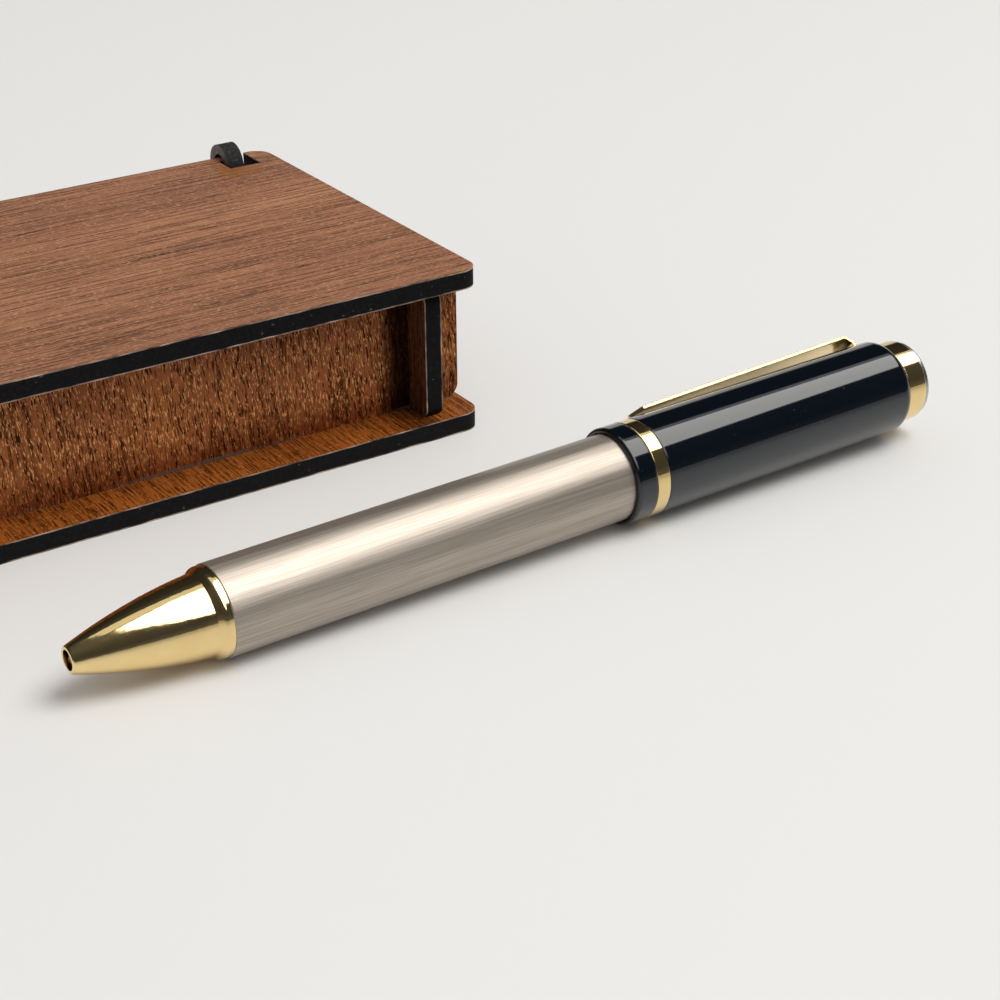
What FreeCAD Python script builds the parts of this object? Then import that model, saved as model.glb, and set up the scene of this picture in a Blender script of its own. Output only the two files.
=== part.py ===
import FreeCAD, Part
import math
import os

from FreeCAD import Vector

# A wooden box with a swinging lid, and the twist ballpoint pen that lies in front of it.
# Millimetres, +X along the box, +Y to its back, +Z up, origin under the middle of the base.

# Boards of the box
board = 2.9
box_length = 175.0
box_depth = 68.4
box_height = 26.0
plate_corner = 3.0
lid_gap = 0.1
end_inset = 5.8
long_inset = 7.0
end_wall_setback = 2.0
horn_corner = 2.0
foot_corner = 1.2
joint_play = 0.05
long_tenon = 16.0
end_tenon = 14.0
tenon_recess = 0.1
long_tenon_share = 0.28

# Lid hinge: an ear on each end wall, round a square pin cut from the lid
hinge_setback = 0.85
hinge_play = 0.15
ear_wall = 1.55
ear_lift = 0.5
notch_inner_gap = 0.7
notch_outer_gap = 2.1
notch_front_gap = 2.2
gusset_drop = 11.0

# Pen rests inside the box
rest_spacing = 90.0
rest_height = 11.0
rest_floor = 2.5
rest_play = 0.4
rest_tenon = 8.0
rest_tenon_share = 0.3

# Where the pen lies: its tip from the base's right end and front edge, and its heading in degrees
tip_from_right = 84.05
tip_forward = 37.73
pen_heading = 1.04

# Pen, along its axis from the tip
nose_length = 19.6
flare_length = 1.9
nose_bulge = 0.53
steel_show = 61.85
steel_tuck = 3.0
collar_length = 3.2
band_width = 2.1
upper_length = 46.1
cap_length = 3.25
dome_rise = 0.92

# Pen, outwards from the refill's nozzle
nozzle_radius = 1.15
neck_step = 0.45
tube_step = 1.35
tube_play = 0.55
sleeve_wall = 1.0
run_play = 0.15
cam_wall = 0.85
liner_wall = 0.75
barrel_wall = 0.65
fit = 0.05

# Pen shells
nozzle_play = 0.2
tip_wall = 0.5
tip_round = 0.15
flare_step = 0.7
flare_round = 1.2
rim_step = 0.1
steel_wall = 1.0
steel_edge = 0.12
lip_round = 0.45
seam_round = 0.18
end_round = 1.5
cap_step = 0.9
end_wall = 0.8
spigot_length = 8.0
collar_sleeve = 4.5
band_seat = 0.35
cap_rim = 0.25
cap_edge = 0.1
dome_seat = 0.8
dome_round = 0.4
stud_radius = 3.0
stud_length = 7.5

# Twist mechanism: a straight slot, a slanting slot and the pin that both of them guide
travel = 4.0
twist_angle = 150.0
twist_steps = 30
stop_gap = 0.3
pin_from_lip = 22.0
pin_radius = 0.75
slot_play = 0.2
cam_margin = 3.0
ring_width = 1.0
coupler_below = 9.0
coupler_socket = 6.0
bush_length = 5.0
plunger_front = 4.6
plunger_back = 3.4

# Refill and its spring
tip_depth = 1.0
ball_radius = 0.5
ball_share = 0.6
nozzle_lip_share = 0.6
nozzle_taper = 1.9
nozzle_length = 6.0
neck_length = 12.0
tube_wall = 0.4
crown_length = 2.1
crown_step = 0.55
neck_guide = 4.5
spring_wire = 0.4
spring_play = 0.25
spring_turns = 9
arcs_per_turn = 4

# Clip, on the side of the barrel that faces the box
clip_roll = 51.6
clip_thick = 0.5
clip_width = 4.0
clip_root = 2.1
clip_entry = 0.3
clip_depth = 1.8
clip_play = 0.15
clip_bend = 0.7
heel_setback = 3.0
heel_gap = 1.23
toe_setback = 2.35
toe_gap = 0.28
toe_taper = 1.9
toe_round = 0.6
toe_corner = 0.4
holder_length = 5.0
holder_spigot = 4.0

# Cutters run past what they cut by this much
overrun = 1.0
tiny = 1e-6
full_turn = 360.0

# Box sizes that follow
half_length = box_length / 2
half_depth = box_depth / 2
wall_top = box_height - board - lid_gap
lid_bottom = box_height - board
end_outer = half_length - end_inset
end_inner = end_outer - board
long_outer = half_depth - long_inset
long_inner = long_outer - board
lap_level = (board + wall_top) / 2
hinge_y = half_depth - hinge_setback
hinge_z = lid_bottom + board / 2
ear_z = hinge_z + ear_lift
ear_hole = math.hypot(hinge_setback, board / 2) + hinge_play
ear_radius = ear_hole + ear_wall

# Pen radii that follow
neck_radius = nozzle_radius + neck_step
tube_radius = neck_radius + tube_step
sleeve_bore = tube_radius + tube_play
sleeve_radius = sleeve_bore + sleeve_wall
cam_bore = sleeve_radius + run_play
cam_radius = cam_bore + cam_wall
liner_bore = cam_radius + fit
liner_radius = liner_bore + liner_wall
barrel_bore = liner_radius + fit
barrel_radius = barrel_bore + barrel_wall
steel_radius = barrel_bore - run_play
steel_bore = steel_radius - steel_wall
tip_bore = nozzle_radius + nozzle_play
tip_radius = tip_bore + tip_wall
rim_radius = steel_radius - rim_step
crease_radius = steel_radius - flare_step
cap_radius = barrel_radius - cap_step
dome_radius = cap_radius - cap_rim
band_bore = barrel_radius - band_seat
neck_bore = neck_radius + run_play
spring_radius = neck_radius + spring_play + spring_wire / 2
spring_bore = spring_radius + spring_wire / 2 + spring_play
tube_bore = tube_radius + spring_play
slot_radius = pin_radius + slot_play

# Pen stations that follow
lip = nose_length + steel_show
steel_end = lip + steel_tuck
band_start = lip + collar_length
band_end = band_start + band_width
barrel_end = band_end + upper_length
cap_end = barrel_end + cap_length
crease = nose_length - flare_length
nozzle_front = tip_depth + ball_radius * ball_share
neck_front = nozzle_front + nozzle_length
tube_front = neck_front + neck_length
tip_land = neck_front - travel - stop_gap
spring_seat = tip_land + neck_guide
tube_land = tube_front - travel - stop_gap
pin_station = lip + pin_from_lip
crown_end = pin_station - plunger_front - fit
tube_end = crown_end - crown_length
cam_front = pin_station - travel - cam_margin
cam_back = pin_station + cam_margin
ring_back = cam_back + run_play + ring_width
liner_front = max(steel_end, band_start) + run_play
holder_back = barrel_end - end_wall - fit
holder_front = holder_back - holder_length
clip_station = barrel_end - clip_root

# The pen lies tip down, on the rounded front edge of its steel barrel and the rounded lip of its collar
front_contact = nose_length + steel_edge
contact_span = lip + lip_round - front_contact
contact_step = (barrel_radius - lip_round) - (steel_radius - steel_edge)
contact_slope = math.atan2(contact_step, contact_span)
pen_tilt = contact_slope + math.asin((lip_round - steel_edge) / math.hypot(contact_span, contact_step))
front_drop = front_contact * math.sin(pen_tilt)
tip_height = (steel_radius - steel_edge) * math.cos(pen_tilt) + steel_edge - front_drop


def flat(point):
    return Vector(point.x, point.y, 0)


def side(point):
    return Vector(0, point.x, point.y)


def front(point):
    return Vector(point.x, 0, point.y)


def rounded_edges(corners, place, closed=True):
    """Straight edges through corners (a, b, radius), joined by tangent arcs, in the plane of place."""
    points = [Vector(a, b, 0) for a, b, radius in corners]
    last = len(corners) - 1
    turns = []
    for i, here in enumerate(points):
        radius = corners[i][2]
        if radius == 0 or (not closed and i in (0, last)):
            turns.append((here, None, here))
            continue
        before = (points[i - 1] - here).normalize()
        after = (points[(i + 1) % len(points)] - here).normalize()
        half_angle = before.getAngle(after) / 2
        reach = radius / math.tan(half_angle)
        inward = (before + after).normalize()
        middle = here + inward * (radius / math.sin(half_angle) - radius)
        turns.append((here + before * reach, middle, here + after * reach))
    edges = []
    for i, (start, middle, end) in enumerate(turns):
        if middle is not None:
            edges.append(Part.Arc(place(start), place(middle), place(end)).toShape())
        if not closed and i == last:
            break
        following = turns[(i + 1) % len(turns)][0]
        if (following - end).Length > tiny:
            edges.append(Part.makeLine(place(end), place(following)))
    return edges


def panel(corners, place, thickness):
    """A flat board: the rounded outline, swept along the thickness vector."""
    return Part.Face(Part.Wire(rounded_edges(corners, place))).extrude(thickness)


def block(x, y, z):
    """A box between the two ends given along each axis."""
    return Part.makeBox(x[1] - x[0], y[1] - y[0], z[1] - z[0], Vector(x[0], y[0], z[0]))


def around(middle, half):
    return (middle - half, middle + half)


def mirrored(shape, axis):
    return shape.mirror(Vector(0, 0, 0), axis)


def along_pen(length, radius, station):
    return Part.makeCylinder(radius, length, Vector(station, 0, 0), Vector(1, 0, 0))


def turned(corners):
    """A solid turned about the pen's axis, from corners (station, radius, rounding)."""
    face = Part.Face(Part.Wire(rounded_edges(corners, front)))
    return face.revolve(Vector(0, 0, 0), Vector(1, 0, 0), full_turn)


def tube(start, end, inner, outer, edge_round=0):
    return turned([(start, inner, 0), (start, outer, edge_round),
                   (end, outer, edge_round), (end, inner, 0)])


def tenon_places():
    """Footprint of each wall's tenons on the base, by node: (x from, x to) and (y from, y to)."""
    long_x = box_length * long_tenon_share
    rest_y = 2 * long_inner * rest_tenon_share
    places = {}
    for name, sign in (("front_wall", -1), ("back_wall", 1)):
        y = around(sign * (long_inner + long_outer) / 2, board / 2)
        places[name] = [(around(x, long_tenon / 2), y) for x in (-long_x, long_x)]
    for name, sign in (("left_end_wall", -1), ("right_end_wall", 1)):
        x = around(sign * (end_inner + end_outer) / 2, board / 2)
        places[name] = [(x, around(0, end_tenon / 2))]
    for name, sign in (("left_pen_rest", -1), ("right_pen_rest", 1)):
        x = around(sign * rest_spacing / 2, board / 2)
        places[name] = [(x, around(y, rest_tenon / 2)) for y in (-rest_y, rest_y)]
    return places


def with_tenons(wall, places):
    tenons = [block(x, y, (tenon_recess, board)) for x, y in places]
    return wall.fuse(tenons).removeSplitter()


def plate_panel(level):
    corners = [(-half_length, -half_depth, plate_corner), (half_length, -half_depth, plate_corner),
               (half_length, half_depth, plate_corner), (-half_length, half_depth, plate_corner)]
    return panel(corners, flat, Vector(0, 0, board)).translated(Vector(0, 0, level))


def base_plate(places):
    plate = plate_panel(0)
    for footprints in places.values():
        for x, y in footprints:
            wider_x = (x[0] - joint_play, x[1] + joint_play)
            wider_y = (y[0] - joint_play, y[1] + joint_play)
            plate = plate.cut(block(wider_x, wider_y, (-overrun, board + overrun)))
    return plate


def lid_plate():
    """The lid, with a notch for each hinge ear and a square pin that reaches through the ear."""
    notch_front = hinge_y - ear_radius - notch_front_gap
    notch_x = (end_inner - notch_inner_gap, end_outer + notch_outer_gap)
    notch_z = (lid_bottom - overrun, box_height + overrun)
    notch = block(notch_x, (notch_front, half_depth + overrun), notch_z)
    pin = block((notch_x[0], end_outer), around(hinge_y, hinge_setback), (lid_bottom, box_height))
    lid = plate_panel(lid_bottom).cut(notch).fuse(pin)
    lid = lid.cut(mirrored(notch, Vector(1, 0, 0))).fuse(mirrored(pin, Vector(1, 0, 0)))
    return lid.removeSplitter()


def long_wall(places):
    """The front wall: full length, with a slot from above for each end wall."""
    corners = [(-half_length, board, horn_corner), (half_length, board, horn_corner),
               (half_length, wall_top, horn_corner), (-half_length, wall_top, horn_corner)]
    wall = panel(corners, front, Vector(0, board, 0)).translated(Vector(0, -long_outer, 0))
    middle = (end_inner + end_outer) / 2
    for x in (-middle, middle):
        slot_x = around(x, board / 2 + joint_play)
        slot_z = (lap_level - joint_play, wall_top + overrun)
        wall = wall.cut(block(slot_x, around(-long_outer, board + overrun), slot_z))
    return with_tenons(wall, places)


def hinge_ear():
    """The arch at the back of an end wall, and the gusset that runs from it into the wall's edge."""
    arch = Part.makeCylinder(ear_radius, board, Vector(end_inner, hinge_y, ear_z), Vector(1, 0, 0))
    front_y = hinge_y - ear_radius
    edge_y = half_depth - end_wall_setback
    foot_y = edge_y - hinge_y
    foot_z = ear_z - gusset_drop
    turn = math.acos(ear_radius / math.hypot(foot_y, gusset_drop))
    tangent = math.atan2(-gusset_drop, foot_y) + turn
    tangent_y = hinge_y + ear_radius * math.cos(tangent)
    tangent_z = ear_z + ear_radius * math.sin(tangent)
    corners = [(front_y, foot_z, 0), (edge_y, foot_z, 0), (tangent_y, tangent_z, 0),
               (hinge_y, ear_z, 0), (front_y, ear_z, 0)]
    gusset = panel(corners, side, Vector(board, 0, 0)).translated(Vector(end_inner, 0, 0))
    return arch.fuse(gusset)


def ear_slot():
    """The upright slot through an ear, in which the lid's pin turns and can rise a little."""
    x = (end_inner - overrun, end_outer + overrun)
    slot = block(x, around(hinge_y, ear_hole), (hinge_z, ear_z))
    for z in (hinge_z, ear_z):
        end = Part.makeCylinder(ear_hole, x[1] - x[0], Vector(x[0], hinge_y, z), Vector(1, 0, 0))
        slot = slot.fuse(end)
    return slot


def right_end_wall(places):
    """The right end wall: a slot from below for each long wall, and the hinge ear at its back."""
    edge = half_depth - end_wall_setback
    corners = [(-edge, board, foot_corner), (edge, board, foot_corner),
               (edge, wall_top, 0), (-edge, wall_top, horn_corner)]
    wall = panel(corners, side, Vector(board, 0, 0)).translated(Vector(end_inner, 0, 0))
    middle = (long_inner + long_outer) / 2
    for y in (-middle, middle):
        slot_y = around(y, board / 2 + joint_play)
        slot_z = (board - overrun, lap_level + joint_play)
        wall = wall.cut(block((end_inner - overrun, end_outer + overrun), slot_y, slot_z))
    wall = wall.fuse(hinge_ear()).cut(ear_slot())
    return with_tenons(wall, places)


def pen_rest(places):
    """A cross board with a round-bottomed notch for the pen's barrel."""
    x = places[0][0]
    half_width = long_inner - joint_play
    top = board + rest_height
    notch_radius = barrel_radius + rest_play
    notch_z = board + rest_floor + notch_radius
    rest = block(x, (-half_width, half_width), (board, top))
    start = Vector(x[0] - overrun, 0, notch_z)
    rest = rest.cut(Part.makeCylinder(notch_radius, board + 2 * overrun, start, Vector(1, 0, 0)))
    mouth_z = (notch_z, max(top, notch_z) + overrun)
    rest = rest.cut(block((x[0] - overrun, x[1] + overrun), around(0, notch_radius), mouth_z))
    return with_tenons(rest, places)


def nose_cone():
    """The brass nose: a bulging cone, a flared rim, a spigot, and the bores for tip and spring."""
    tip_edge = Vector(tip_round, tip_radius, 0)
    crease_edge = Vector(crease, crease_radius, 0)
    normal = Vector(tip_radius - crease_radius, crease - tip_round, 0).normalize()
    bulge = (tip_edge + crease_edge) / 2 + normal * nose_bulge
    spigot_end = nose_length + spigot_length
    spigot_radius = steel_bore - fit
    cone = Part.Arc(front(tip_edge), front(bulge), front(crease_edge)).toShape()
    rest = [(crease, crease_radius, 0), (nose_length - flare_length / 2, rim_radius, flare_round),
            (nose_length, rim_radius, 0), (nose_length, spigot_radius, 0), (spigot_end, spigot_radius, 0),
            (spigot_end, tube_bore, 0), (tube_land, tube_bore, 0), (tube_land, spring_bore, 0),
            (spring_seat, spring_bore, 0), (spring_seat, neck_bore, 0), (tip_land, neck_bore, 0),
            (tip_land, tip_bore, 0), (0, tip_bore, 0), (0, tip_radius - tip_round, 0),
            (tip_round, tip_radius, 0)]
    edges = [cone] + rounded_edges(rest, front, closed=False)
    return Part.Face(Part.Wire(edges)).revolve(Vector(0, 0, 0), Vector(1, 0, 0), full_turn)


def barrel_coupler():
    """The brass bush in the steel barrel's upper end, with a socket for the guide sleeve."""
    start = lip - coupler_below
    floor = steel_end - coupler_socket
    outer = steel_bore - fit
    socket = sleeve_radius + fit
    return turned([(start, tube_bore, 0), (start, outer, 0), (steel_end, outer, 0),
                   (steel_end, socket, 0), (floor, socket, 0), (floor, tube_bore, 0)])


def guide_sleeve():
    """The fixed tube with a straight slot on each side for the pin, and a collar below the cam."""
    start = steel_end - coupler_socket + fit
    shoulder = cam_front - run_play
    shoulder_radius = cam_radius - run_play
    collar = shoulder - ring_width
    end = ring_back + ring_width
    sleeve = turned([(start, sleeve_bore, 0), (start, sleeve_radius, 0), (collar, sleeve_radius, 0),
                     (collar, shoulder_radius, 0), (shoulder, shoulder_radius, 0),
                     (shoulder, sleeve_radius, 0), (end, sleeve_radius, 0), (end, sleeve_bore, 0)])
    reach = sleeve_radius + overrun
    slot_x = (pin_station - travel, pin_station)
    slot = block(slot_x, around(0, slot_radius), (-reach, reach))
    for station in slot_x:
        slot = slot.fuse(Part.makeCylinder(slot_radius, 2 * reach, Vector(station, 0, -reach)))
    return sleeve.cut(slot)


def cam_sleeve():
    """The tube that turns with the upper barrel: two slanting slots, cut in small steps."""
    sleeve = tube(cam_front, cam_back, cam_bore, cam_radius)
    reach = cam_radius + overrun
    cutters = []
    for step in range(twist_steps + 1):
        share = step / twist_steps
        start = Vector(pin_station - travel * share, 0, -reach)
        cutter = Part.makeCylinder(slot_radius, 2 * reach, start)
        cutter.rotate(Vector(0, 0, 0), Vector(1, 0, 0), -twist_angle * share)
        cutters.append(cutter)
    return sleeve.cut(cutters)


def trim_collar():
    """The black ring with a rounded lip, and the thin sleeve that carries the gold band."""
    sleeve_end = band_end + collar_sleeve
    sleeve_outer = band_bore - fit
    return turned([(lip, barrel_bore, 0), (lip, barrel_radius, lip_round),
                   (band_start, barrel_radius, seam_round), (band_start, sleeve_outer, 0),
                   (sleeve_end, sleeve_outer, 0), (sleeve_end, barrel_bore, 0)])


def upper_barrel():
    """The black barrel: open at the collar, with a rounded far end that the cap screws against."""
    sleeve_end = band_end + collar_sleeve + fit
    inside = barrel_end - end_wall
    barrel = turned([(band_end, band_bore, 0), (band_end, barrel_radius, seam_round),
                     (barrel_end, barrel_radius, end_round), (barrel_end, stud_radius + fit, 0),
                     (inside, stud_radius + fit, 0), (inside, barrel_bore, 0),
                     (sleeve_end, barrel_bore, 0), (sleeve_end, band_bore, 0)])
    return barrel.cut(clip_slot())


def clip_slot():
    """The room that the clip's root takes up in the barrel wall and the clip holder."""
    floor = barrel_radius - barrel_wall - clip_depth - clip_play
    slot = block(around(clip_station, clip_thick / 2 + clip_play), around(0, clip_width / 2 + clip_play),
                 (floor, barrel_radius + overrun))
    return rolled(slot)


def rolled(shape):
    """Turn a shape made above the axis to the clip's side of the barrel."""
    shape.rotate(Vector(0, 0, 0), Vector(1, 0, 0), -clip_roll)
    return shape


def clip_holder():
    """The insert that the clip's root hooks into and the cap's stud screws into."""
    spigot_front = holder_front - holder_spigot
    thread = stud_radius + fit
    spigot = liner_bore - fit
    outer = barrel_bore - fit
    holder = turned([(spigot_front, thread, 0), (spigot_front, spigot, 0), (holder_front, spigot, 0),
                     (holder_front, outer, 0), (holder_back, outer, 0), (holder_back, thread, 0)])
    return holder.cut(clip_slot())


def end_cap():
    """The gold cap: a short drum with a stud below and a shallow seat for the dome above."""
    stud_end = barrel_end - stud_length
    seat = cap_end - dome_seat
    seat_radius = dome_radius + fit
    return turned([(stud_end, 0, 0), (stud_end, stud_radius, 0), (barrel_end, stud_radius, 0),
                   (barrel_end, cap_radius, 0), (cap_end, cap_radius, cap_edge),
                   (cap_end, seat_radius, 0), (seat, seat_radius, 0), (seat, 0, 0)])


def cap_dome():
    """The pale disc with a rounded edge in the end of the cap."""
    base = cap_end - dome_seat + fit
    top = cap_end + dome_rise
    return turned([(base, 0, 0), (base, dome_radius, 0), (top, dome_radius, dome_round), (top, 0, 0)])


def clip():
    """A gold strip: a root in the barrel's slot, a slanting leg, a heel, and a run with a pointed toe."""
    half_thick = clip_thick / 2
    half_width = clip_width / 2
    root = barrel_radius - barrel_wall - clip_depth
    heel = barrel_radius + heel_gap + half_thick
    toe = barrel_radius + toe_gap + half_thick
    toe_end = band_end + toe_setback
    route = [(clip_station, root, 0), (clip_station, barrel_radius + clip_entry, clip_bend),
             (barrel_end - heel_setback, heel, clip_bend), (toe_end - overrun, toe, 0)]
    path = Part.Wire(rounded_edges(route, front, closed=False))
    section = Part.makePolygon([Vector(clip_station + a, b, root) for a, b in (
        (-half_thick, -half_width), (half_thick, -half_width), (half_thick, half_width),
        (-half_thick, half_width), (-half_thick, -half_width))])
    strip = path.makePipeShell([section], True, False)
    taper_end = toe_end + toe_taper
    outline = [(toe_end, 0, toe_round), (taper_end, -half_width, toe_corner), (barrel_end, -half_width, 0),
               (barrel_end, half_width, 0), (taper_end, half_width, toe_corner)]
    return rolled(strip.common(panel(outline, flat, Vector(0, 0, heel + clip_thick))))


def refill_nozzle():
    """The brass writing end: a small socket lip, a taper, the nozzle and the thicker neck behind it."""
    socket = ball_radius + fit
    socket_end = tip_depth + 2 * ball_radius + fit
    lip_radius = nozzle_radius * nozzle_lip_share
    return turned([(nozzle_front, socket, 0), (nozzle_front, lip_radius, 0),
                   (nozzle_front + nozzle_taper, nozzle_radius, 0), (neck_front, nozzle_radius, 0),
                   (neck_front, neck_radius, 0), (tube_front, neck_radius, 0), (tube_front, 0, 0),
                   (socket_end, 0, 0), (socket_end, socket, 0)])


def refill_tube():
    """The ink tube, closed at the front by its shoulder and at the back by the crown."""
    bore = tube_radius - tube_wall
    floor = tube_front + tube_wall
    return turned([(tube_front, 0, 0), (tube_front, tube_radius, 0), (tube_end, tube_radius, 0),
                   (tube_end, bore, 0), (floor, bore, 0), (floor, 0, 0)])


def refill_crown():
    """The plug at the back of the ink tube, which the plunger pushes on."""
    plug = tube_radius - tube_wall - fit
    plug_end = tube_end - crown_length
    return turned([(plug_end, 0, 0), (plug_end, plug, 0), (tube_end, plug, 0),
                   (tube_end, tube_radius, 0), (tube_end + crown_length / 2, tube_radius, 0),
                   (crown_end, tube_radius - crown_step, 0), (crown_end, 0, 0)])


def plunger():
    body = along_pen(plunger_front + plunger_back, sleeve_bore - slot_play, pin_station - plunger_front)
    reach = sleeve_bore + overrun
    hole = Part.makeCylinder(pin_radius + fit, 2 * reach, Vector(pin_station, 0, -reach))
    return body.cut(hole)


def drive_pin():
    reach = cam_radius - run_play
    return Part.makeCylinder(pin_radius, 2 * reach, Vector(pin_station, 0, -reach))


def arc_from(start, tangent, end):
    """The arc that leaves start along tangent and reaches end."""
    chord = end - start
    along = Vector(chord).normalize()
    across = (tangent - along * tangent.dot(along)).normalize()
    rise = chord.Length / 2 * math.tan(tangent.getAngle(chord) / 2)
    return Part.Arc(start, (start + end) / 2 + across * rise, end).toShape()


def biarc(start, start_tangent, end, end_tangent):
    """Two arcs that leave start and reach end along the given tangents, and meet in line."""
    gap = end - start
    both = start_tangent + end_tangent
    spread = 2 * (1 - start_tangent.dot(end_tangent))
    swing = gap.dot(both)
    reach = (math.sqrt(swing ** 2 + spread * gap.dot(gap)) - swing) / spread
    meeting = ((start + start_tangent * reach) + (end - end_tangent * reach)) / 2
    return [arc_from(start, start_tangent, meeting), arc_from(end, -end_tangent, meeting)]


def refill_spring():
    """The spring round the refill's neck: one unbroken wire from the nose's seat to the tube."""
    start = spring_seat + fit + spring_wire / 2
    end = tube_front - fit - spring_wire / 2
    pitch = (end - start) / spring_turns

    def station(turn):
        angle = 2 * math.pi * turn
        outward = Vector(0, math.cos(angle), math.sin(angle))
        sideways = Vector(0, -math.sin(angle), math.cos(angle))
        place = Vector(start + pitch * turn, 0, 0) + outward * spring_radius
        tangent = Vector(pitch, 0, 0) + sideways * (2 * math.pi * spring_radius)
        return place, tangent.normalize()

    edges = []
    points = []
    for step in range(spring_turns * arcs_per_turn):
        here, here_tangent = station(step / arcs_per_turn)
        following, following_tangent = station((step + 1) / arcs_per_turn)
        edges += biarc(here, here_tangent, following, following_tangent)
        points.append(here)
    section = Part.Wire(Part.makeCircle(spring_wire / 2, *station(0)))
    spring = Part.Wire(edges).makePipeShell([section], True, False)
    gaps = [(points[i] - points[j]).Length - spring_wire
            for i in range(len(points)) for j in range(i + arcs_per_turn // 2 + 1, len(points))]
    print("spring: least gap between turns", round(min(gaps), 3))
    return spring


def box_pieces():
    places = tenon_places()
    front_board = long_wall(places["front_wall"])
    end_board = right_end_wall(places["right_end_wall"])
    return {
        "base_plate": base_plate(places),
        "front_wall": front_board,
        "back_wall": mirrored(front_board, Vector(0, 1, 0)),
        "right_end_wall": end_board,
        "left_end_wall": mirrored(end_board, Vector(1, 0, 0)),
        "left_pen_rest": pen_rest(places["left_pen_rest"]),
        "right_pen_rest": pen_rest(places["right_pen_rest"]),
        "lid_plate": lid_plate(),
    }


def pen_pieces():
    """The pen's pieces along +X, with the tip's face at the origin."""
    bush_front = liner_front + run_play
    bush_back = bush_front + bush_length
    ring_front = cam_back + run_play
    return {
        "nose_cone": nose_cone(),
        "lower_barrel": tube(nose_length, steel_end, steel_bore, steel_radius, steel_edge),
        "barrel_coupler": barrel_coupler(),
        "guide_sleeve": guide_sleeve(),
        "friction_bush": tube(bush_front, bush_back, sleeve_radius + fit, liner_bore - run_play),
        "retaining_ring": tube(ring_front, ring_back, sleeve_radius + fit, cam_radius - run_play),
        "trim_collar": trim_collar(),
        "centre_band": tube(band_start, band_end, band_bore, barrel_radius, fit),
        "upper_barrel": upper_barrel(),
        "barrel_liner": tube(liner_front, holder_front - fit, liner_bore, liner_radius),
        "cam_sleeve": cam_sleeve(),
        "clip_holder": clip_holder(),
        "end_cap": end_cap(),
        "cap_dome": cap_dome(),
        "clip": clip(),
        "refill_ball": Part.makeSphere(ball_radius, Vector(tip_depth + ball_radius, 0, 0)),
        "refill_nozzle": refill_nozzle(),
        "refill_tube": refill_tube(),
        "refill_crown": refill_crown(),
        "plunger": plunger(),
        "drive_pin": drive_pin(),
        "refill_spring": refill_spring(),
    }


def main():
    tip = Vector(half_length - tip_from_right, -half_depth - tip_forward, tip_height)
    tilt = FreeCAD.Rotation(Vector(0, 1, 0), -math.degrees(pen_tilt))
    lay = FreeCAD.Placement(tip, FreeCAD.Rotation(Vector(0, 0, 1), pen_heading).multiply(tilt))
    pieces = box_pieces()
    for name, shape in pen_pieces().items():
        shape.Placement = lay.multiply(shape.Placement)
        pieces[name] = shape
    os.makedirs("parts", exist_ok=True)
    for name, shape in pieces.items():
        state = "valid" if shape.isValid() else "NOT VALID"
        print(name, state, len(shape.Solids), round(shape.Volume, 2))
        shape.exportStep("parts/" + name + ".step")


main()
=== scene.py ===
import math

import bpy
from mathutils import Matrix, Vector

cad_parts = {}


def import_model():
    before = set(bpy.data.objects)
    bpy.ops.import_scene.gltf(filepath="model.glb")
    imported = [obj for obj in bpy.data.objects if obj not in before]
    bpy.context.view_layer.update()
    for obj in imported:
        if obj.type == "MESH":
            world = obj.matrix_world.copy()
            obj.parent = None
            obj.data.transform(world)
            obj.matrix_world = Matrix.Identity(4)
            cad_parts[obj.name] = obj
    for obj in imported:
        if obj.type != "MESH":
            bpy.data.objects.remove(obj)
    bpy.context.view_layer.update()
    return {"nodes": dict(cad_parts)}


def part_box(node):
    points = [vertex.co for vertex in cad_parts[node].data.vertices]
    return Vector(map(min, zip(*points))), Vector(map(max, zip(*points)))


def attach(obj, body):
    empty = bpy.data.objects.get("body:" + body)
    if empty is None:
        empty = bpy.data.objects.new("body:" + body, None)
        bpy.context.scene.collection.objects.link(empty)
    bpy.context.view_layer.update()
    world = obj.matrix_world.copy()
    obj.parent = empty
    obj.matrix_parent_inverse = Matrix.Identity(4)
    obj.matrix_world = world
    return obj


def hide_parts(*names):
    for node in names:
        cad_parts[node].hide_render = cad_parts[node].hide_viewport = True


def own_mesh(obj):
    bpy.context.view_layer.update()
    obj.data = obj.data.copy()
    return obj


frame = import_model()
nodes = frame["nodes"]
scene = bpy.context.scene

# Lengths are in metres, as in the CAD.
MM = 0.001
X, Y, Z = 0, 1, 2
ORIGIN = (0.0, 0.0, 0.0)

# The box: the thickness of its boards, the inner face of its end walls, the spot on the lid beside each hinge
# ear, and the height that the ears are charred from.
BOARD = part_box("base_plate")[1][Z]
END_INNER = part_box("right_end_wall")[0][X]
EAR_SPOT = Vector((79.4, 26.8, 26.0)) * MM
EAR_SPOTS = (EAR_SPOT, Vector((-EAR_SPOT.x, EAR_SPOT.y, EAR_SPOT.z)))
EAR_CHAR = EAR_SPOT.z - BOARD / 2

# The pen: its own frame starts at its tip and runs along its axis. Its spring lies between a seat and the
# refill, whose tip comes out. The edges of its gold are slightly rounded.
PEN_TIP = Vector((3.45, -71.93, 5.946)) * MM
PEN_HEADING = math.radians(1.04)
PEN_RISE = math.radians(0.737)
PEN_TURN = Matrix.Rotation(PEN_HEADING, 3, "Z") @ Matrix.Rotation(-PEN_RISE, 3, "Y")
GOLD_EDGE = 0.12 * MM
CLIP_EDGE = 0.25 * MM

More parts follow.
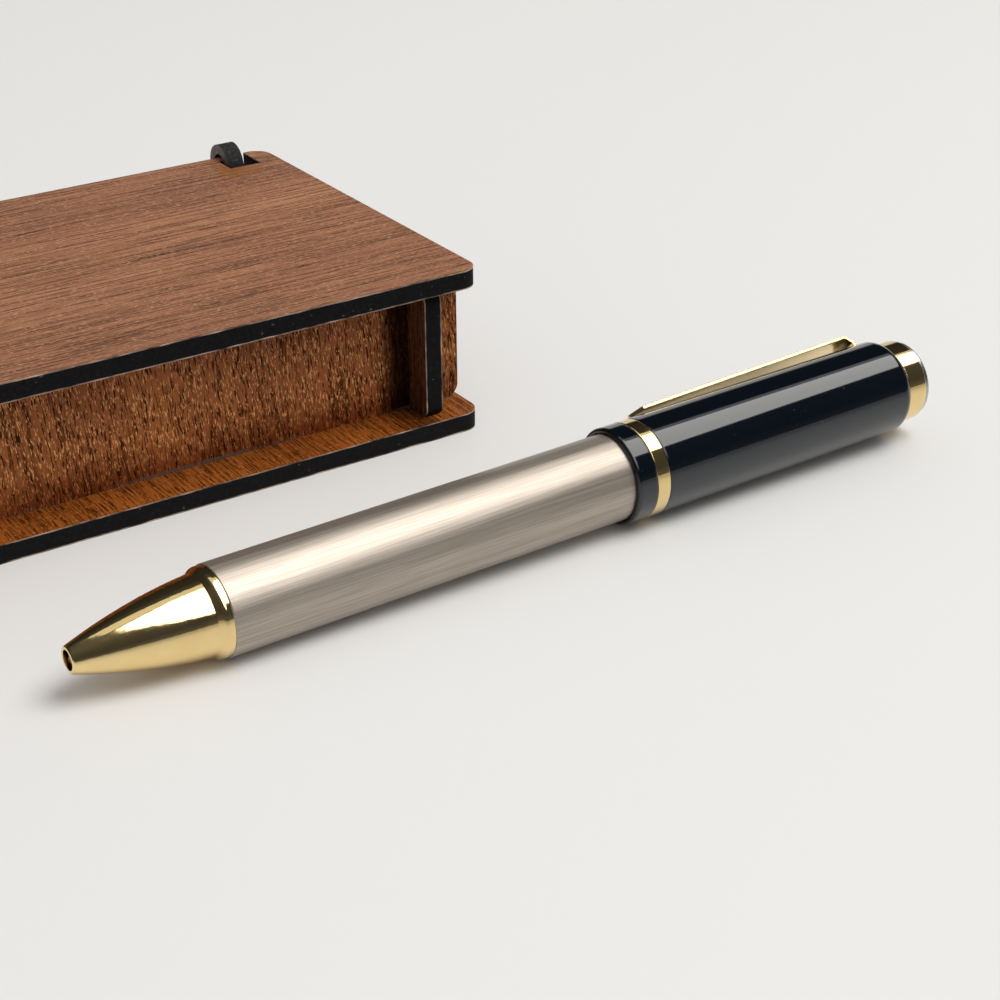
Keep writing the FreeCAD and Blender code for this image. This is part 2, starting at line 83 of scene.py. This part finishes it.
# Wood: the dark, middle and light tone, and the colour of the flecks.
LID_TONES = ((0.232, 0.085, 0.038), (0.338, 0.136, 0.061), (0.430, 0.188, 0.090), (0.60, 0.30, 0.155))
WALL_TONES = ((0.175, 0.042, 0.006), (0.318, 0.083, 0.013), (0.445, 0.137, 0.025), (0.84, 0.42, 0.145))
BASE_TONES = ((0.175, 0.041, 0.004), (0.282, 0.071, 0.008), (0.380, 0.108, 0.014), (0.70, 0.29, 0.055))
END_TONES = ((0.12, 0.036, 0.012), (0.20, 0.064, 0.022), (0.28, 0.098, 0.036), (0.62, 0.315, 0.105))

# Grain: streaks, pores and flecks, each with its waves per metre along and across the grain, the noise level
# that it starts at, and its strength. The walls' grain slants a little, in radians.
LID_GRAIN = ((36, 2200, 0.505, 0.60), (130, 3800, 0.54, 0.58), (1250, 4300, 0.57, 0.62))
WALL_GRAIN = ((80, 1500, 0.54, 0.60), (480, 4300, 0.53, 0.90), (1300, 5900, 0.570, 0.92))
FINE_GRAIN = ((70, 2200, 0.52, 0.66), (260, 4300, 0.53, 0.82), (1300, 5200, 0.575, 0.52))
WALL_SLANT = 0.10

# What the laser that cut the boards left on them, and the colours of painted shade. Coal and char go from
# dark to light by noise level.
COAL = ((0.3, (0.0028, 0.0026, 0.0028)), (0.6, (0.0068, 0.0062, 0.0066)), (0.8, (0.018, 0.016, 0.016)))
CHAR = ((0.3, (0.010, 0.010, 0.010)), (0.55, (0.026, 0.025, 0.025)), (0.8, (0.070, 0.068, 0.066)))
CHARRED_VENEER = (0.125, 0.100, 0.092)
SCORCH = (0.25, 0.085, 0.020)
# The next three colours are painted shade: on the end walls' inner faces, by the end walls, and at a wall's
# foot and head.
INNER_FACE_SHADE = (0.014, 0.004, 0.003)
DEEP_SHADE = (0.010, 0.003, 0.002)
FOOT_AND_HEAD_SHADE = (0.45, 0.30, 0.20)
ASH = (0.115, 0.092, 0.084)
DUST = (0.35, 0.33, 0.30)
PALE_RIM = (0.54, 0.40, 0.31)

# Light: the fill on matt surfaces, what the camera sees behind the set, and the whites of the table, the room
# and the cards.
FILL = 0.46
BACKGROUND = 0.8
TABLE_WHITE = (1.0, 0.99, 0.975)
ROOM_WHITE = (1.0, 0.99, 0.97)
CARD_WHITE = (1.0, 0.985, 0.955)
BLACK = (0.0, 0.0, 0.0)

# The two cards overhead: their height, and their corners from above, chosen for the highlights on the pen.
CARD_HEIGHT = 1.0
MAIN_CARD = ((-0.10, -0.15), (-0.11, -0.55), (0.11, -1.40), (0.48, -2.10), (0.66, -1.15), (0.76, -0.72),
             (0.95, -0.59), (1.30, -0.42), (1.30, 0.12), (0.95, 0.12), (0.48, 0.19), (0.10, 0.065))
BACK_CARD = ((-0.15, 0.40), (-0.15, -0.13), (0.10, 0.085), (0.48, 0.21), (0.95, 0.145), (1.30, 0.145),
             (1.30, 0.23), (0.95, 0.25), (0.48, 0.33))


def tint(colour, level):
    return tuple(level * channel for channel in colour)


def mid_plane(name, axis):
    low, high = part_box(name)
    return (low[axis] + high[axis]) / 2


class NodeTree:
    """A tree of shader nodes, built by short calls that return sockets."""

    def __init__(self, tree):
        self.tree = tree
        tree.nodes.clear()

    def add(self, kind, **settings):
        node = self.tree.nodes.new(kind)
        for key, value in settings.items():
            setattr(node, key, value)
        return node

    def link(self, source, target):
        self.tree.links.new(source, target)

    def feed(self, target, value):
        if isinstance(value, bpy.types.NodeSocket):
            self.link(value, target)
        else:
            target.default_value = value

    def place(self):
        return self.add("ShaderNodeTexCoord").outputs["Object"]

    def normal(self):
        return self.add("ShaderNodeTexCoord").outputs["Normal"]

    def mapped(self, vector, scale=(1, 1, 1), turn=(0, 0, 0), shift=(0, 0, 0)):
        node = self.add("ShaderNodeMapping")
        self.link(vector, node.inputs["Vector"])
        node.inputs["Scale"].default_value = scale
        node.inputs["Rotation"].default_value = turn
        node.inputs["Location"].default_value = shift
        return node.outputs["Vector"]

    def noise(self, vector, scale=1.0, detail=3.0, rough=0.5):
        """Noise from 0 to 1; scale is in waves per metre."""
        node = self.add("ShaderNodeTexNoise")
        self.link(vector, node.inputs["Vector"])
        node.inputs["Scale"].default_value = scale
        node.inputs["Detail"].default_value = detail
        node.inputs["Roughness"].default_value = rough
        return node.outputs["Fac"]

    def math(self, operation, a, b=0.0, clamp=False):
        node = self.add("ShaderNodeMath", operation=operation, use_clamp=clamp)
        self.feed(node.inputs[0], a)
        self.feed(node.inputs[1], b)
        return node.outputs[0]

    def distance(self, a, b):
        node = self.add("ShaderNodeVectorMath", operation="DISTANCE")
        self.feed(node.inputs[0], a)
        self.feed(node.inputs[1], b)
        return node.outputs["Value"]

    def span(self, value, source, target=(0.0, 1.0), smooth=False):
        """The value taken from one range to another, and held at its ends."""
        node = self.add("ShaderNodeMapRange", interpolation_type="SMOOTHSTEP" if smooth else "LINEAR")
        self.feed(node.inputs["Value"], value)
        for name, limit in zip(("From Min", "From Max", "To Min", "To Max"), (*source, *target)):
            node.inputs[name].default_value = limit
        return node.outputs["Result"]

    def between(self, share, a, b):
        """The number that lies the given share of the way from a to b."""
        return self.math("ADD", a, self.math("MULTIPLY", share, self.math("SUBTRACT", b, a)), clamp=True)

    def wander(self, value, noise, reach, swing=0.2):
        """The value, moved up and down by the reach as the noise swings about its middle."""
        return self.math("ADD", value, self.span(noise, (0.5 - swing, 0.5 + swing), (-reach, reach)))

    def parts(self, vector):
        node = self.add("ShaderNodeSeparateXYZ")
        self.link(vector, node.inputs[0])
        return node.outputs

    def ramp(self, value, stops):
        node = self.add("ShaderNodeValToRGB")
        elements = node.color_ramp.elements
        while len(elements) < len(stops):
            elements.new(0.5)
        for element, (at, colour) in zip(elements, stops):
            element.position = at
            element.color = (*colour, 1.0)
        self.link(value, node.inputs["Fac"])
        return node.outputs["Color"]

    def mix(self, share, a, b, blend="MIX"):
        node = self.add("ShaderNodeMix", data_type="RGBA", blend_type=blend)
        self.feed(node.inputs["Factor"], share)
        for socket, value in ((node.inputs[6], a), (node.inputs[7], b)):
            self.feed(socket, value if isinstance(value, bpy.types.NodeSocket) else (*value, 1.0))
        return node.outputs[2]


class Material(NodeTree):
    """A material with one principled shader."""

    def __init__(self, name):
        self.material = bpy.data.materials.new(name)
        self.material.use_nodes = True
        super().__init__(self.material.node_tree)
        self.shader = self.add("ShaderNodeBsdfPrincipled")
        output = self.add("ShaderNodeOutputMaterial")
        self.link(self.shader.outputs["BSDF"], output.inputs["Surface"])

    def set(self, **values):
        """Set or link the shader's own sockets, by name with _ for a space."""
        for name, value in values.items():
            self.feed(self.shader.inputs[name.replace("_", " ")], value)

    def along_pen(self):
        """Object coordinates turned into the pen's own frame: X along its axis from the tip."""
        back = PEN_TURN.transposed()
        return self.mapped(self.place(), turn=back.to_euler("XYZ"), shift=back @ -PEN_TIP)

    def soft_edges(self, radius):
        """The surface normal, rounded over sharp edges by the given radius."""
        node = self.add("ShaderNodeBevel", samples=6)
        node.inputs["Radius"].default_value = radius
        return node.outputs["Normal"]

    def bump(self, height, depth, strength, normal=None):
        node = self.add("ShaderNodeBump")
        node.inputs["Strength"].default_value = strength
        node.inputs["Distance"].default_value = depth
        self.link(height, node.inputs["Height"])
        if normal is not None:
            self.link(normal, node.inputs["Normal"])
        return node.outputs["Normal"]

    def dress(self, *names):
        """Give the material to CAD nodes."""
        for name in names:
            mesh = nodes[name].data
            mesh.materials.clear()
            mesh.materials.append(self.material)


class Veneer(Material):
    """Walnut veneer on the two faces of a board, whose cut edges the laser has burnt black.
    The board is thin along one axis, and its grain runs along another."""

    def __init__(self, board, thin_axis, grain_axis, tones, marks, slant=0.0, seed=0.0):
        super().__init__(board + "_veneer")
        self.board = board
        self.thin_axis = thin_axis
        self.grain_axis = grain_axis
        self.at = self.place()
        turn = [0.0, 0.0, 0.0]
        turn[thin_axis] = slant
        self.turned = self.mapped(self.at, turn=turn, shift=(seed, seed * 0.7, seed * 0.3))
        self.paint_wood(tones, *marks)
        self.paint_edge()

    def grained(self, along, across, detail, shift=0.0):
        """Noise drawn out along the grain, from its waves per metre along and across it."""
        scale = [across] * 3
        scale[self.grain_axis] = along
        stretched = self.mapped(self.turned, scale=scale, shift=(shift, shift, shift))
        return self.noise(stretched, detail=detail, rough=0.55)

    def marks(self, settings, shift):
        along, across, level, strength = settings
        fade = 0.10
        shown = self.span(self.grained(along, across, 1.5, shift), (level, level + fade), smooth=True)
        return self.math("MULTIPLY", shown, strength)

    def paint_wood(self, tones, streak, pore, fleck):
        dark, middle, light, fleck_tone = tones
        self.figure = self.grained(9, 110, 5.0)
        bands = self.grained(4, 42, 2.0, shift=11.3)
        self.fibres = self.grained(170, 4200, 2.0, shift=5.1)
        streaks = self.marks(streak, shift=14.6)
        self.pores = self.marks(pore, shift=2.7)
        flecks = self.marks(fleck, shift=8.9)
        wood = self.ramp(self.figure, ((0.28, dark), (0.5, middle), (0.72, light)))
        wood = self.mix(self.span(bands, (0.35, 0.65), (0.30, 0.0)), wood, tint(dark, 0.55))
        wood = self.mix(self.span(self.fibres, (0.3, 0.7), (0.0, 0.40)), wood, tint(light, 1.15))
        wood = self.mix(streaks, wood, tint(dark, 0.35))
        wood = self.mix(self.pores, wood, tint(dark, 0.10))
        self.wood = self.mix(flecks, wood, fleck_tone)
        self.gloss = self.span(self.math("MAXIMUM", streaks, self.pores), (0.0, 1.0), (0.34, 0.02))

    def paint_edge(self):
        """Coal with some dust on the cut edges, and a pale, scuffed line of veneer at each rim."""
        rim_start = BOARD / 2 - 0.23 * MM
        rim_full = BOARD / 2 - 0.12 * MM
        rim_wobble = 0.07 * MM
        self.coal = self.noise(self.at, 1700.0, detail=4.0, rough=0.65)
        specks = self.noise(self.mapped(self.at, shift=(0.4, 0.1, 0.9)), 1500.0, detail=0.0)
        dusty = self.math("MULTIPLY", self.span(specks, (0.80, 0.84)), 0.16)
        burnt = self.mix(dusty, self.ramp(self.coal, COAL), DUST)
        middle = mid_plane(self.board, self.thin_axis)
        off_middle = self.math("ABSOLUTE", self.math("SUBTRACT", self.parts(self.at)[self.thin_axis], middle))
        wavy = self.wander(off_middle, self.noise(self.at, 380.0), rim_wobble, swing=0.3)
        rim = self.span(wavy, (rim_start, rim_full), smooth=True)
        scuffs = self.span(self.noise(self.at, 260.0, detail=4.0), (0.36, 0.66), (0.08, 1.0))
        self.edge = self.mix(self.math("MULTIPLY", rim, scuffs), burnt, PALE_RIM)

    def scorch(self, spots):
        """Brown the wood round the spots."""
        near = 1.8 * MM
        far = 5.0 * MM
        wobble = 0.8 * MM
        for spot in spots:
            away = self.wander(self.distance(self.at, spot), self.noise(self.at, 500.0, detail=2.0), wobble)
            self.wood = self.mix(self.span(away, (near, far), (0.75, 0.0), smooth=True), self.wood, SCORCH)

    def paint_inner_face_shade(self, side):
        """Paint shade on the face on the given side, -1 or 1 along the thin axis."""
        looks = self.math("MULTIPLY", self.parts(self.normal())[self.thin_axis], side)
        self.wood = self.mix(self.span(looks, (0.2, 0.8), (0.0, 0.54)), self.wood, INNER_FACE_SHADE)

    def paint_shade_by_end_walls(self, in_corner, outside):
        """Paint shade into the corners inside the end walls, and darken the wood past these walls, by the
        given shares.
        """
        shade_start = END_INNER - 6.2 * MM
        shade_full = END_INNER - 2.2 * MM
        stop_start = END_INNER + 1.2 * MM
        stop_end = END_INNER + 1.4 * MM
        off_centre = self.math("ABSOLUTE", self.parts(self.at)[X])
        corner = self.span(off_centre, (shade_start, shade_full), (0.0, in_corner), smooth=True)
        past_wall = self.span(off_centre, (stop_start, stop_end), (1.0, outside))
        share = self.math("MINIMUM", corner, past_wall)
        self.wood = self.mix(share, self.wood, DEEP_SHADE)
        self.gloss = self.math("SUBTRACT", self.gloss, self.math("MULTIPLY", share, 0.3))

    def paint_foot_and_head_shade(self):
        """Paint shade on a wall's foot and on its head under the lid."""
        foot_full = BOARD + 0.5 * MM
        foot_end = BOARD + 6.5 * MM
        head_start = 16.0 * MM
        head_full = 19.0 * MM
        height = self.parts(self.at)[Z]
        foot = self.span(height, (foot_full, foot_end), (0.85, 0.0), smooth=True)
        head = self.span(height, (head_start, head_full), (0.0, 0.42))
        self.wood = self.mix(self.math("MAXIMUM", foot, head), self.wood, FOOT_AND_HEAD_SHADE, blend="MULTIPLY")

    def ash_line(self):
        """Leave a broken line of ash in a wall's foot joint."""
        line_full = BOARD + 0.30 * MM
        line_end = BOARD + 0.50 * MM
        wobble = 0.12 * MM
        height = self.wander(self.parts(self.at)[Z], self.grained(60, 60, 2.0), wobble)
        line = self.span(height, (line_full, line_end), (0.80, 0.0))
        broken = self.span(self.noise(self.at, 70.0), (0.46, 0.62))
        self.wood = self.mix(self.math("MULTIPLY", line, broken), self.wood, ASH)

    def char(self, above):
        """Grey the board over the given height."""
        fade = 0.5 * MM
        wobble = 0.3 * MM
        height = self.wander(self.parts(self.at)[Z], self.coal, wobble, swing=0.3)
        share = self.span(height, (above, above + fade))
        self.edge = self.mix(share, self.edge, self.ramp(self.coal, CHAR))
        self.wood = self.mix(self.math("MULTIPLY", share, 0.85), self.wood, CHARRED_VENEER)

    def finish(self):
        """Put faces and edges together, and give the material to the board."""
        edge_rough = 0.75
        edge_gloss = 0.12
        edge_radius = 0.10 * MM
        relief_depth = 0.05 * MM
        facing = self.math("ABSOLUTE", self.parts(self.normal())[self.thin_axis])
        is_face = self.span(facing, (0.72, 0.86))
        figured = self.span(self.figure, (0.2, 0.8), (0.40, 0.52))
        rough = self.math("ADD", figured, self.math("MULTIPLY", self.pores, 0.2))
        self.set(Base_Color=self.mix(is_face, self.edge, self.wood))
        self.set(Roughness=self.between(is_face, edge_rough, rough))
        self.set(Specular_IOR_Level=self.between(is_face, edge_gloss, self.gloss))
        relief = self.math("SUBTRACT", self.math("MULTIPLY", self.fibres, 0.25), self.pores)
        relief = self.math("MULTIPLY", relief, is_face)
        relief = self.math("ADD", relief, self.math("MULTIPLY", self.coal, 0.35))
        self.set(Normal=self.bump(relief, relief_depth, 0.7, self.soft_edges(edge_radius)))
        self.dress(self.board)


def brushed_steel():
    """Steel brushed along the pen: broad and fine brush marks, with dark and light hairlines."""
    mark_depth = 0.022 * MM
    g = Material("brushed_steel")
    pen = g.along_pen()
    broad = g.noise(g.mapped(pen, scale=(11, 700, 700)), detail=4.0, rough=0.65)
    fine = g.noise(g.mapped(pen, scale=(45, 2600, 2600)), detail=3.0, rough=0.75)
    hair = g.noise(g.mapped(pen, scale=(75, 6200, 6200)), detail=2.0, rough=0.7)
    tone = g.mix(g.span(broad, (0.3, 0.7)), (0.41, 0.357, 0.305), (0.55, 0.488, 0.424))
    tone = g.mix(g.span(fine, (0.35, 0.75), (0.0, 0.45)), tone, (0.30, 0.256, 0.212))
    tone = g.mix(g.span(hair, (0.50, 0.66), (0.0, 0.32)), tone, (0.25, 0.213, 0.176))
    tone = g.mix(g.span(hair, (0.48, 0.34), (0.0, 0.28)), tone, (0.68, 0.608, 0.530))
    g.set(Base_Color=tone, Metallic=1.0)
    g.set(Roughness=g.span(broad, (0.25, 0.75), (0.35, 0.43)), Anisotropic=0.65)
    g.set(Tangent=g.add("ShaderNodeTangent", direction_type="RADIAL", axis="X").outputs[0])
    relief = g.math("ADD", fine, g.math("MULTIPLY", broad, 0.2))
    g.set(Normal=g.bump(relief, mark_depth, 0.9))
    return g


def gold_plate(name, edge_radius, rough):
    """Gold plating with a slight haze between the two given roughnesses."""
    haze_depth = 0.006 * MM
    g = Material(name)
    pen = g.along_pen()
    haze = g.noise(pen, 240.0, detail=4.0, rough=0.6)
    hair = g.noise(g.mapped(pen, scale=(500, 4000, 4000)), detail=2.0)
    tone = g.mix(g.span(haze, (0.3, 0.7)), (0.85, 0.64, 0.300), (0.905, 0.70, 0.345))
    g.set(Base_Color=tone, Metallic=1.0)
    g.set(Roughness=g.span(haze, (0.25, 0.8), rough))
    relief = g.math("ADD", haze, g.math("MULTIPLY", hair, 0.3))
    g.set(Normal=g.bump(relief, haze_depth, 0.5, g.soft_edges(edge_radius)))
    return g


def black_lacquer():
    """Black lacquer under a clear coat, with a slight orange peel and a few specks of dust."""
    peel_depth = 0.003 * MM
    edge_radius = 0.45 * MM
    g = Material("black_lacquer")
    pen = g.along_pen()
    peel = g.noise(pen, 420.0, detail=2.0)
    dust = g.span(g.noise(pen, 2300.0, detail=1.0), (0.76, 0.80))
    g.set(Base_Color=g.mix(dust, (0.0004, 0.0028, 0.0062), (0.05, 0.055, 0.06)))
    g.set(Roughness=g.span(peel, (0.2, 0.8), (0.04, 0.08)), IOR=1.58)
    g.set(Coat_Weight=0.35, Coat_Roughness=0.02)
    g.set(Normal=g.bump(peel, peel_depth, 0.4, g.soft_edges(edge_radius)))
    return g


def satin_silver():
    """Grey, softly clouded metal."""
    cloud_depth = 0.006 * MM
    g = Material("satin_silver")
    cloud = g.noise(g.along_pen(), 700.0)
    g.set(Base_Color=g.mix(cloud, (0.42, 0.42, 0.43), (0.56, 0.56, 0.57)), Metallic=1.0)
    g.set(Roughness=g.span(cloud, (0.2, 0.8), (0.22, 0.34)))
    g.set(Normal=g.bump(cloud, cloud_depth, 0.5))
    return g


def turned_metal(name, dark, light, rough):
    """Machined metal inside the pen: fine rings round the axis, between the two given roughnesses."""
    ring_depth = 0.008 * MM
    g = Material(name)
    rings = g.noise(g.mapped(g.along_pen(), scale=(5200, 60, 60)), detail=2.0)
    g.set(Base_Color=g.mix(rings, dark, light), Metallic=1.0)
    g.set(Roughness=g.span(rings, (0.2, 0.8), rough))
    g.set(Normal=g.bump(rings, ring_depth, 0.6))
    return g


def moulded_plastic():
    """Pale, fine-grained plastic inside the pen."""
    grain_depth = 0.010 * MM
    g = Material("moulded_plastic")
    pen = g.along_pen()
    grain = g.noise(pen, 3000.0)
    cloud = g.noise(pen, 150.0, detail=2.0)
    g.set(Base_Color=g.mix(cloud, (0.62, 0.61, 0.57), (0.72, 0.71, 0.67)))
    g.set(Roughness=g.span(grain, (0.2, 0.8), (0.38, 0.52)))
    g.set(Normal=g.bump(grain, grain_depth, 0.5))
    return g


def dress_box():
    lid = Veneer("lid_plate", Z, X, LID_TONES, LID_GRAIN, seed=0.3)
    lid.scorch(EAR_SPOTS)
    lid.finish()
    base = Veneer("base_plate", Z, Y, BASE_TONES, FINE_GRAIN, seed=1.1)
    # Painted shade on the base where it meets the end walls.
    base.paint_shade_by_end_walls(in_corner=0.6, outside=0.0)
    base.finish()
    for name, seed in (("front_wall", 2.2), ("back_wall", 3.7)):
        wall = Veneer(name, Y, Z, WALL_TONES, WALL_GRAIN, slant=WALL_SLANT, seed=seed)
        # Painted shade by the end walls, and at the wall's foot and under the lid.
        wall.paint_shade_by_end_walls(in_corner=0.95, outside=0.30)
        wall.paint_foot_and_head_shade()
        wall.ash_line()
        wall.finish()
    for name, seed, inner_side in (("left_end_wall", 4.1, 1.0), ("right_end_wall", 5.3, -1.0)):
        end = Veneer(name, X, Z, END_TONES, FINE_GRAIN, seed=seed)
        # Painted shade on the end wall's inner face.
        end.paint_inner_face_shade(inner_side)
        end.char(EAR_CHAR)
        end.finish()
    for name, seed in (("left_pen_rest", 6.4), ("right_pen_rest", 7.9)):
        rest = Veneer(name, X, Z, END_TONES, FINE_GRAIN, seed=seed)
        rest.finish()


def dress_pen():
    brushed_steel().dress("lower_barrel")
    gold_plate("gold_plate", GOLD_EDGE, rough=(0.05, 0.11)).dress("nose_cone", "centre_band", "end_cap")
    gold_plate("satin_gold", CLIP_EDGE, rough=(0.20, 0.28)).dress("clip")
    black_lacquer().dress("trim_collar", "upper_barrel")
    satin_silver().dress("cap_dome")
    brass = turned_metal("machined_brass", (0.62, 0.47, 0.22), (0.75, 0.60, 0.33), rough=(0.20, 0.32))
    brass.dress("barrel_coupler", "barrel_liner", "refill_nozzle")
    steel = turned_metal("drawn_steel", (0.48, 0.48, 0.49), (0.60, 0.60, 0.60), rough=(0.22, 0.34))
    steel.dress("retaining_ring", "drive_pin", "refill_spring", "refill_ball", "refill_tube")
    plastic = moulded_plastic()
    plastic.dress("guide_sleeve", "cam_sleeve", "friction_bush", "plunger", "clip_holder", "refill_crown")


def shortening_spring():
    """The refill's spring, in the CAD's shape, as a mesh of its own on the pen's lower body in place of the
    CAD node.
    """
    spring = bpy.data.objects.new("shortening_spring", nodes["refill_spring"].data.copy())
    scene.collection.objects.link(spring)
    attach(spring, "pen_lower")
    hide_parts("refill_spring")
    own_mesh(spring)


def floor():
    """A pale table. What mirrors it sees it dimmer in front of the pen, and far away it fades into the
    background for the camera."""
    width = 8.0
    top = -0.02 * MM
    dim_places = (-0.16, -0.076)
    fade_distances = (0.55, 1.4)
    bpy.ops.mesh.primitive_grid_add(x_subdivisions=2, y_subdivisions=2, size=width, location=(0.0, 0.0, top))
    ground = bpy.context.object
    ground.name = "table_top"
    g = Material("pale_table")
    at = g.place()
    rays = g.add("ShaderNodeLightPath").outputs
    dim = g.math("MULTIPLY", rays["Is Glossy Ray"], g.span(g.parts(at)[Y], dim_places, (0.52, 0.0)))
    far_away = g.span(g.distance(at, ORIGIN), fade_distances, smooth=True)
    faded = g.math("MULTIPLY", rays["Is Camera Ray"], far_away)
    pale = g.mix(g.noise(at, 3.0), (0.795, 0.785, 0.765), (0.815, 0.805, 0.785))
    g.set(Base_Color=g.mix(g.math("MAXIMUM", dim, faded), pale, BLACK))
    g.set(Emission_Color=(*TABLE_WHITE, 1.0), Emission_Strength=g.math("MULTIPLY", faded, BACKGROUND))
    g.set(Roughness=0.6, Specular_IOR_Level=0.1)
    ground.data.materials.append(g.material)


def world():
    """An even fill for matt surfaces, and for glossy ones a dark room with a pale backdrop behind the set.
    Room and backdrop each have a level for some heights, where 0 is the horizon and 1 is overhead."""
    room_levels = ((0.0, 0.10), (0.25, 0.05), (0.6, 0.06), (1.0, 0.10))
    backdrop_levels = ((0.0, 0.70), (0.22, 0.70), (0.30, 0.02), (0.75, 0.03), (1.0, 0.10))
    sky = bpy.data.worlds.new("studio")
    scene.world = sky
    sky.use_nodes = True
    g = NodeTree(sky.node_tree)
    direction = g.parts(g.add("ShaderNodeTexCoord").outputs["Generated"])

    def by_height(levels):
        return g.ramp(direction[Z], [(height, tint(ROOM_WHITE, level)) for height, level in levels])

    behind = g.span(direction[Y], (-0.1, 0.2))
    mirrored = g.mix(behind, by_height(room_levels), by_height(backdrop_levels))
    rays = g.add("ShaderNodeLightPath").outputs
    light = g.mix(rays["Is Glossy Ray"], tint(TABLE_WHITE, FILL), mirrored)
    light = g.mix(rays["Is Camera Ray"], light, tint(TABLE_WHITE, BACKGROUND))
    background = g.add("ShaderNodeBackground")
    output = g.add("ShaderNodeOutputWorld")
    g.link(light, background.inputs["Color"])
    g.link(background.outputs["Background"], output.inputs["Surface"])


def window():
    """A soft lamp for matt surfaces; glossy ones see the cards instead."""
    place = Vector((0.85, -0.80, 2.0))
    target = Vector((0.05, -0.05, 0.0))
    data = bpy.data.lights.new("window", "AREA")
    data.shape = "RECTANGLE"
    data.size = 1.6
    data.size_y = 1.3
    data.energy = 38.5
    lamp = bpy.data.objects.new("window", data)
    scene.collection.objects.link(lamp)
    lamp.location = place
    lamp.rotation_euler = (target - place).to_track_quat("-Z", "Y").to_euler()
    lamp.visible_glossy = False


def card(name, corners, level):
    """A level glowing sheet overhead that only glossy surfaces see."""
    mesh = bpy.data.meshes.new(name)
    mesh.from_pydata([(x, y, CARD_HEIGHT) for x, y in corners], [], [list(range(len(corners)))])
    sheet = bpy.data.objects.new(name, mesh)
    scene.collection.objects.link(sheet)
    g = Material(name)
    g.set(Base_Color=(*BLACK, 1.0), Emission_Color=(*CARD_WHITE, 1.0), Emission_Strength=level)
    mesh.materials.append(g.material)
    sheet.visible_camera = False
    sheet.visible_diffuse = False
    sheet.visible_transmission = False
    sheet.visible_volume_scatter = False
    sheet.visible_shadow = False


def camera():
    """The photograph's viewpoint, found from the straight lines of the box and the outlines of the pen."""
    place = Vector((-75.354, -285.479, 140.5)) * MM
    pitch, yaw, roll = (math.radians(angle) for angle in (27.0855, -33.4445, -0.366))
    upright = Vector((0, 0, 1))
    ahead = Vector((-math.sin(yaw), math.cos(yaw), 0))
    across = Vector((math.cos(yaw), math.sin(yaw), 0))
    view = ahead * math.cos(pitch) - upright * math.sin(pitch)
    up = ahead * math.sin(pitch) + upright * math.cos(pitch)
    right = across * math.cos(roll) + up * math.sin(roll)
    above = up * math.cos(roll) - across * math.sin(roll)
    data = bpy.data.cameras.new("photo_camera")
    data.sensor_width = 36.0
    data.lens = 77.714
    data.clip_start = 0.01
    data.clip_end = 20.0
    eye = bpy.data.objects.new("photo_camera", data)
    scene.collection.objects.link(eye)
    eye.matrix_world = Matrix.Translation(place) @ Matrix((right, above, -view)).transposed().to_4x4()
    scene.camera = eye


dress_box()
dress_pen()
shortening_spring()
floor()
world()
window()
card("main_card", MAIN_CARD, 3.7)
card("back_card", BACK_CARD, 0.75)
camera()
scene.view_settings.view_transform = "Standard"
